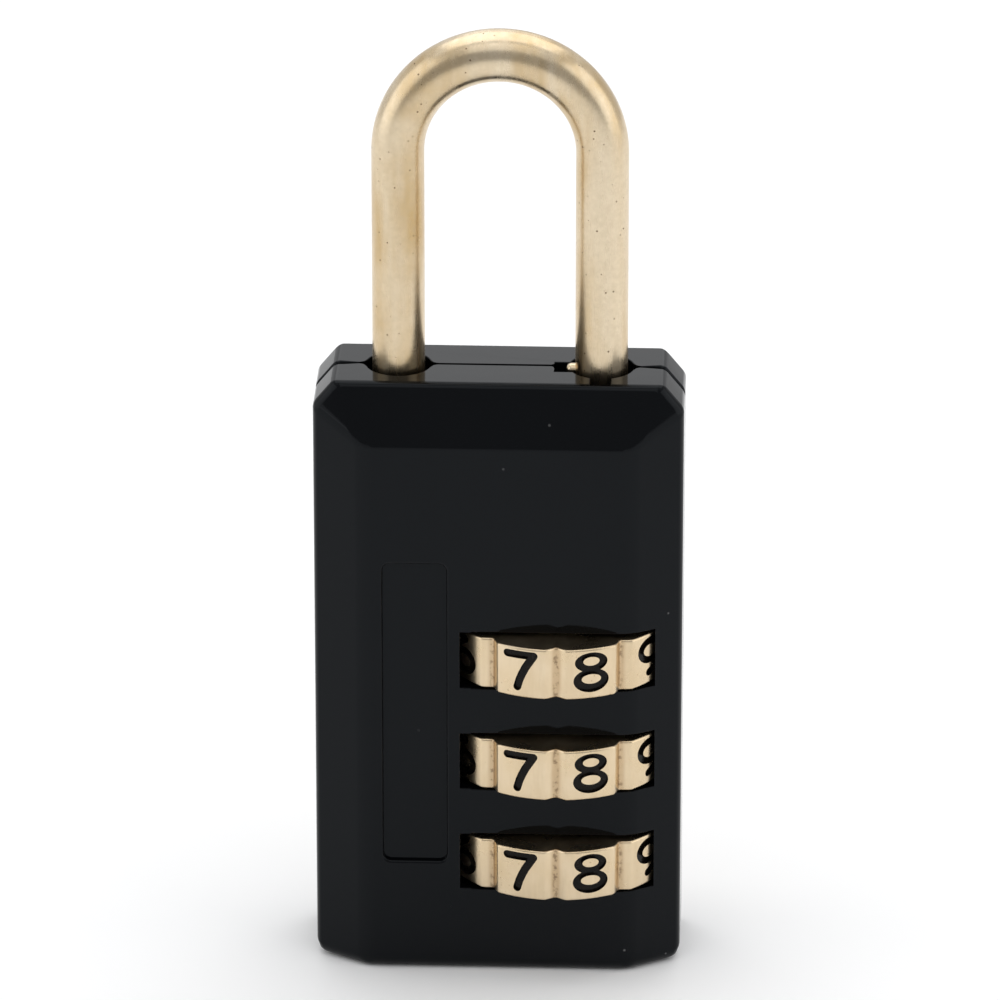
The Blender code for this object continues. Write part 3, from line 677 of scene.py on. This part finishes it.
def dial_blank():
    """A dial before its numerals: rounded rims, ten grooves and a notched bore."""
    rows = []
    for i in range(5):
        angle = math.pi / 2 * i / 4
        rows.append((-DIAL_HALF + DIAL_RIM * (1 - math.cos(angle)),
                     DIAL_RIM * (1 - math.sin(angle))))
    rows += [(-z, inset) for z, inset in reversed(rows)]
    bm = bmesh.new()
    groove = bm.verts.layers.float.new("groove")
    angles = dial_angles()
    outer = []
    for z, inset in rows:
        ring = []
        for angle in angles:
            nearest = (angle + FACET_TURN / 2) % FACET_TURN - FACET_TURN / 2
            depth, share = groove_depth(nearest)
            radius = DIAL_RADIUS - inset - depth
            vert = bm.verts.new((radius * math.sin(angle), -radius * math.cos(angle), z))
            vert[groove] = share
            ring.append(vert)
        outer.append(ring)
    bore = STACK_BORE_RADIUS
    inner = [[bm.verts.new((bore * math.sin(angle), -bore * math.cos(angle), z))
              for angle in angles] for z in (DIAL_HALF, -DIAL_HALF)]
    loops = outer + inner
    count = len(angles)
    for k, lower in enumerate(loops):
        upper = loops[(k + 1) % len(loops)]
        for i in range(count):
            j = (i + 1) % count
            bm.faces.new((lower[i], lower[j], upper[j], upper[i]))
    return bm


def stroke_outline(points, half):
    """Left and right sides of a stroke through points, with round ends."""
    left, right = [], []
    count = len(points)
    for i, point in enumerate(points):
        before = points[max(i - 1, 0)]
        after = points[min(i + 1, count - 1)]
        along = (after - before).normalized()
        if 0 < i < count - 1:
            first = (point - before).normalized()
            stretch = 1.0 / max(0.5, first.dot(along))
        else:
            stretch = 1.0
        normal = Vector((-along.y, along.x)) * half * stretch
        left.append(point + normal)
        right.append(point - normal)
    ends = []
    for point, inner in ((points[-1], points[-2]), (points[0], points[1])):
        along = (point - inner).normalized()
        start = math.atan2(along.y, along.x)
        ends.append([point + Vector((math.cos(start + a), math.sin(start + a))) * half
                     for a in (math.radians(22.5 * step) for step in range(-3, 4))])
    return right + ends[0] + left[::-1] + ends[1]


def arc(cx, cy, rx, ry, start, stop, steps=20):
    return [Vector((cx + rx * math.cos(math.radians(start + (stop - start) * i / steps)),
                    cy + ry * math.sin(math.radians(start + (stop - start) * i / steps))))
            for i in range(steps + 1)]


def line(*points):
    return [Vector(p) for p in points]


def digit_strokes(digit):
    """Open strokes and closed rings of a numeral.

    A ring is the (cy, rx, ry) of its outside and then of its inside.
    """
    h = 0.99
    if digit == 0:
        return [], [((0, 0.95, 1.2), (0, 0.51, 0.82))]
    if digit == 1:
        return [line((-0.42, 0.62), (0.06, h), (0.06, -h))], []
    if digit == 2:
        return [arc(0, 0.42, 0.70, 0.57, 170, -30, 18) + line((-0.70, -h), (0.76, -h))], []
    if digit == 3:
        return [arc(-0.03, 0.5, 0.66, 0.49, 150, -90, 18),
                arc(-0.03, -0.48, 0.76, 0.51, 90, -150, 18)], []
    if digit == 4:
        return [line((0.3, -h), (0.3, h), (-0.78, -0.42), (0.80, -0.42))], []
    if digit == 5:
        return [line((0.62, h), (-0.5, h), (-0.6, 0.12))
                + arc(-0.02, -0.36, 0.76, 0.63, 130, -150, 20)], []
    if digit == 6:
        return ([arc(0.50, -0.30, 1.25, 1.29, 108, 172, 12)],
                [((-0.42, 1.00, 0.80), (-0.40, 0.54, 0.36))])
    if digit == 7:
        return [line((-0.80, 1.0), (0.76, 1.0)),
                line((0.76, 1.0), (0.52, 0.62), (0.29, 0.25), (0.10, -0.14),
                     (-0.05, -0.5), (-0.19, -0.98))], []
    if digit == 8:
        return [], [((0.61, 0.95, 0.60), (0.67, 0.475, 0.265)),
                    ((-0.5, 1.03, 0.72), (-0.41, 0.565, 0.29))]
    return ([arc(-0.50, 0.30, 1.25, 1.29, -72, -8, 12)],
            [((0.42, 1.00, 0.80), (0.40, 0.54, 0.36))])


def split_at_corners(points):
    """Parts of a stroke between its sharp corners."""
    parts, current = [], [points[0]]
    for i in range(1, len(points)):
        current.append(points[i])
        if i < len(points) - 1:
            before = points[i] - points[i - 1]
            after = points[i + 1] - points[i]
            if before.angle(after) > math.radians(35):
                parts.append(current)
                current = [points[i]]
    return parts + [current]


def digit_tools(digit, place):
    """Solids that engrave one numeral. place turns (across, up, out) into a point."""
    deep, proud = DIAL_RADIUS - DIGIT_DEPTH, DIAL_RADIUS + 0.5
    strokes, rings = digit_strokes(digit)
    tools = []
    step_down = 0.012        # each stroke is cut a little deeper than the last
    for points in [part for stroke in strokes for part in split_at_corners(stroke)]:
        outline = stroke_outline(points, STROKE)
        bm = lofted([[place(p.x, p.y, out) for p in outline] for out in (deep, proud)])
        tools.append(bm)
        deep -= step_down
    for outside, inside in rings:
        bm = bmesh.new()
        steps = 44
        loops = []
        for (cy, rx, ry), out in ((inside, deep), (outside, deep),
                                  (outside, proud), (inside, proud)):
            loop = []
            for i in range(steps):
                a = 2 * math.pi * (i + 0.37) / steps
                loop.append(bm.verts.new(place(rx * math.cos(a), cy + ry * math.sin(a), out)))
            loops.append(loop)
        for k in range(4):
            lower, upper = loops[k], loops[(k + 1) % 4]
            for i in range(steps):
                j = (i + 1) % steps
                bm.faces.new((lower[i], lower[j], upper[j], upper[i]))
        tools.append(bm)
        deep -= step_down
    return tools


def build_dial_master():
    """One dial about the origin, with its ten numerals cut and painted."""
    dial = with_material(new_object("dial_master", dial_blank()), DIAL_BRASS)
    tools = []
    for digit in range(10):
        angle = math.radians(18.0 + 36.0 * (digit - 8))
        outward = Vector((math.sin(angle), -math.cos(angle), 0))
        across = Vector((math.cos(angle), math.sin(angle), 0))

        def place(u, v, out, outward=outward, across=across):
            return across * u + outward * out + Vector((0, 0, v + DIGIT_RAISE))

        for bm in digit_tools(digit, place):
            tools.append(with_material(new_object("cut", bm), DIGIT_PAINT))
    combine(dial, tools)
    notches = []
    for i in range(10):
        notch = new_object("cut", block((-NOTCH_HALF, -NOTCH_REACH, DIAL_HALF - NOTCH_HEIGHT),
                                        (NOTCH_HALF, -2.0, DIAL_HALF + PAST)))
        notch.data.transform(Matrix.Rotation(FACET_TURN * i, 4, "Z"))
        notches.append(with_material(notch, DIAL_BRASS))
    combine(dial, notches)
    return dial


def build_dials():
    master = build_dial_master()
    for name in DIAL_NAMES:
        dial = bpy.data.objects.new("dial_" + name + "_engraved", master.data.copy())
        bpy.context.scene.collection.objects.link(dial)
        dial.data.transform(Matrix.Translation((AXIS_X, 0, DIAL_Z[name])))
        to_metres(dial)
        smooth(dial, 30.0)
        apply_modifiers(dial)
        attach(dial, "dial_" + name)
        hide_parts("dial_" + name)
    remove(master)


build_dials()


# --- Shackle ------------------------------------------------------------------------------------
def shackle_path():
    """(centre, sideways axis, radius) from the heel's foot around the bow to the toe."""
    stations = []
    foot = SHACKLE_LOW.z
    chamfer = 0.3
    across = Vector((1, 0, 0))
    heel = [(foot, WIRE_RADIUS - chamfer), (foot + chamfer, WIRE_RADIUS)]
    groove_start, groove_stop, core = foot + 2.0, foot + 3.2, WIRE_RADIUS - 0.5
    heel += [(groove_start - 0.04, WIRE_RADIUS), (groove_start, WIRE_RADIUS - 0.04),
             (groove_start, core), (groove_stop, core), (groove_stop, WIRE_RADIUS - 0.04),
             (groove_stop + 0.04, WIRE_RADIUS)]
    for z, radius in heel:
        stations.append((Vector((LEG_X, 0, z)), across, radius))
    steps = 24
    for i in range(1, steps):
        z = groove_stop + (BEND_Z - groove_stop) * i / steps
        stations.append((Vector((LEG_X, 0, z)), across, WIRE_RADIUS))
    turns = 72
    for i in range(turns + 1):
        angle = math.pi * i / turns
        stations.append((Vector((LEG_X * math.cos(angle), 0, BEND_Z + LEG_X * math.sin(angle))),
                         Vector((math.cos(angle), 0, math.sin(angle))), WIRE_RADIUS))
    for i in range(1, steps):
        z = BEND_Z + (TOE_Z + chamfer - BEND_Z) * i / steps
        stations.append((Vector((-LEG_X, 0, z)), -across, WIRE_RADIUS))
    for angle in (0, 22.5, 45, 67.5, 90):
        turn = math.radians(angle)
        stations.append((Vector((-LEG_X, 0, TOE_Z + chamfer * (1 - math.sin(turn)))), -across,
                         WIRE_RADIUS - chamfer * (1 - math.cos(turn))))
    return stations


def build_shackle():
    steps = 72
    rings = []
    for centre, across, radius in shackle_path():
        rings.append([centre + across * radius * math.cos(2 * math.pi * i / steps)
                      + Vector((0, radius * math.sin(2 * math.pi * i / steps), 0))
                      for i in range(steps)])
    shackle = with_material(new_object("shackle_bow", lofted(rings)), SHACKLE_BRASS)
    to_metres(shackle)
    smooth(shackle, 40.0)
    apply_modifiers(shackle)
    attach(shackle, "shackle")
    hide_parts("shackle")


def build_key_pin():
    """The short pin in the heel that keys into the case, with a domed end."""
    low, high = cad_box("shackle_key_pin")
    radius = (high.z - low.z) / 2
    middle = (high.z + low.z) / 2
    dome = 0.3
    rings = []
    for x, r in [(high.x, radius), (low.x + dome, radius)] + [
            (low.x + dome * (1 - math.sin(a)), radius - dome * (1 - math.cos(a)))
            for a in (math.radians(d) for d in (20, 40, 60, 75, 90))]:
        turns = [2 * math.pi * i / 36 for i in range(36)]
        rings.append([(x, r * math.cos(turn), middle + r * math.sin(turn)) for turn in turns])
    pin = with_material(new_object("heel_key_pin", lofted(rings)), SHACKLE_BRASS)
    to_metres(pin)
    smooth(pin, 50.0)
    apply_modifiers(pin)
    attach(pin, "shackle")
    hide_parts("shackle_key_pin")


build_shackle()
build_key_pin()


# --- Inner parts, which stay as the CAD has them ------------------------------------------------
for node, obj in frame["nodes"].items():
    if obj.hide_render:
        continue
    if node.startswith("clutch_sleeve"):
        look = SLEEVE_RESIN
    elif node.endswith("spring") or node.startswith("detent"):
        look = SPRING_STEEL
    else:
        look = INNER_BRASS
    with_material(obj, look)


# --- Floor, light and camera --------------------------------------------------------------------
def floor():
    look = Look("floor_paper", Specular_IOR_Level=0.0, Roughness=1.0)
    cloud = look.noise(30.0, 2.0)
    look.finish(look.mix(cloud, (0.95, 0.95, 0.95), (0.97, 0.97, 0.97)))
    bm = bmesh.new()
    size = 2.0
    bm.faces.new([bm.verts.new(p) for p in
                  ((-size, -size, 0), (size, -size, 0), (size, size, 0), (-size, size, 0))])
    ground = with_material(new_object("floor", bm), look.material)


def world():
    """Soft white walls, a dark gap behind the camera and a brighter card behind the padlock."""
    scene = bpy.context.scene
    scene.world = bpy.data.worlds.new("studio")
    scene.world.use_nodes = True
    tree = scene.world.node_tree
    nodes, links = tree.nodes, tree.links
    background = nodes["Background"]
    place = nodes.new("ShaderNodeTexCoord")
    split = nodes.new("ShaderNodeSeparateXYZ")
    links.new(place.outputs["Generated"], split.inputs[0])

    def ramp(source, from_low, from_high, to_low, to_high):
        node = nodes.new("ShaderNodeMapRange")
        node.interpolation_type = "SMOOTHSTEP"
        for key, number in (("From Min", from_low), ("From Max", from_high),
                            ("To Min", to_low), ("To Max", to_high)):
            node.inputs[key].default_value = number
        links.new(source, node.inputs["Value"])
        return node.outputs["Result"]

    def times(a, b):
        node = nodes.new("ShaderNodeMath")
        node.operation = "MULTIPLY"
        links.new(a, node.inputs[0])
        links.new(b, node.inputs[1])
        return node.outputs["Value"]

    front = ramp(split.outputs["Y"], -0.30, -0.64, 0.0, 1.0)
    gap = ramp(front, 0.0, 1.0, 0.70, 0.40)
    back = ramp(split.outputs["Y"], 0.0, 0.85, 1.0, 1.15)
    across = nodes.new("ShaderNodeMath")
    across.operation = "ABSOLUTE"
    links.new(split.outputs["X"], across.inputs[0])
    card = times(ramp(across.outputs["Value"], 0.20, 0.36, 1.0, 0.0),
                 times(ramp(split.outputs["Z"], 0.24, 0.34, 0.0, 1.0),
                       ramp(split.outputs["Z"], 0.46, 0.58, 1.0, 0.0)))
    card = times(card, ramp(split.outputs["Y"], 0.4, 0.6, 0.0, 1.0))
    level = times(times(gap, back), ramp(card, 0.0, 1.0, 1.0, 1.75))
    links.new(level, background.inputs["Strength"])
    background.inputs["Color"].default_value = (0.985, 0.99, 1.0, 1.0)


def area_light(name, place, aim, size, power):
    light = bpy.data.lights.new(name, "AREA")
    light.shape = "RECTANGLE"
    light.size, light.size_y = size
    light.energy = power
    obj = bpy.data.objects.new(name, light)
    bpy.context.scene.collection.objects.link(obj)
    obj.location = place
    obj.rotation_euler = (Vector(aim) - Vector(place)).to_track_quat("-Z", "Y").to_euler()
    obj.visible_camera = False
    return obj


def camera():
    distance, elevation, azimuth = 0.502, math.radians(23.3), math.radians(2.3)
    aim = Vector((-0.00001, 0.0, 0.02725))
    toward = Vector((math.sin(azimuth) * math.cos(elevation),
                     -math.cos(azimuth) * math.cos(elevation), math.sin(elevation)))
    data = bpy.data.cameras.new("camera")
    data.sensor_width = 36.0
    data.lens = 320.8
    obj = bpy.data.objects.new("camera", data)
    bpy.context.scene.collection.objects.link(obj)
    obj.location = aim + toward * distance
    obj.rotation_euler = (-toward).to_track_quat("-Z", "Y").to_euler()
    data.clip_start = 0.01
    bpy.context.scene.camera = obj


floor()
world()
area_light("overhead", (0.0, 0.16, 0.38), (0.0, 0.06, 0.0), (0.5, 0.4), 0.68)
area_light("front_fill", (0.0, -0.26, 0.45), (0.0, -0.02, 0.0), (0.4, 0.3), 0.25)
area_light("left_box", (-0.45, -0.12, 0.2), (0.0, 0.0, 0.02), (0.5, 0.45), 0.52)
area_light("right_box", (0.45, -0.12, 0.2), (0.0, 0.0, 0.02), (0.5, 0.45), 0.56)
camera()
bpy.context.scene.view_settings.view_transform = "Standard"
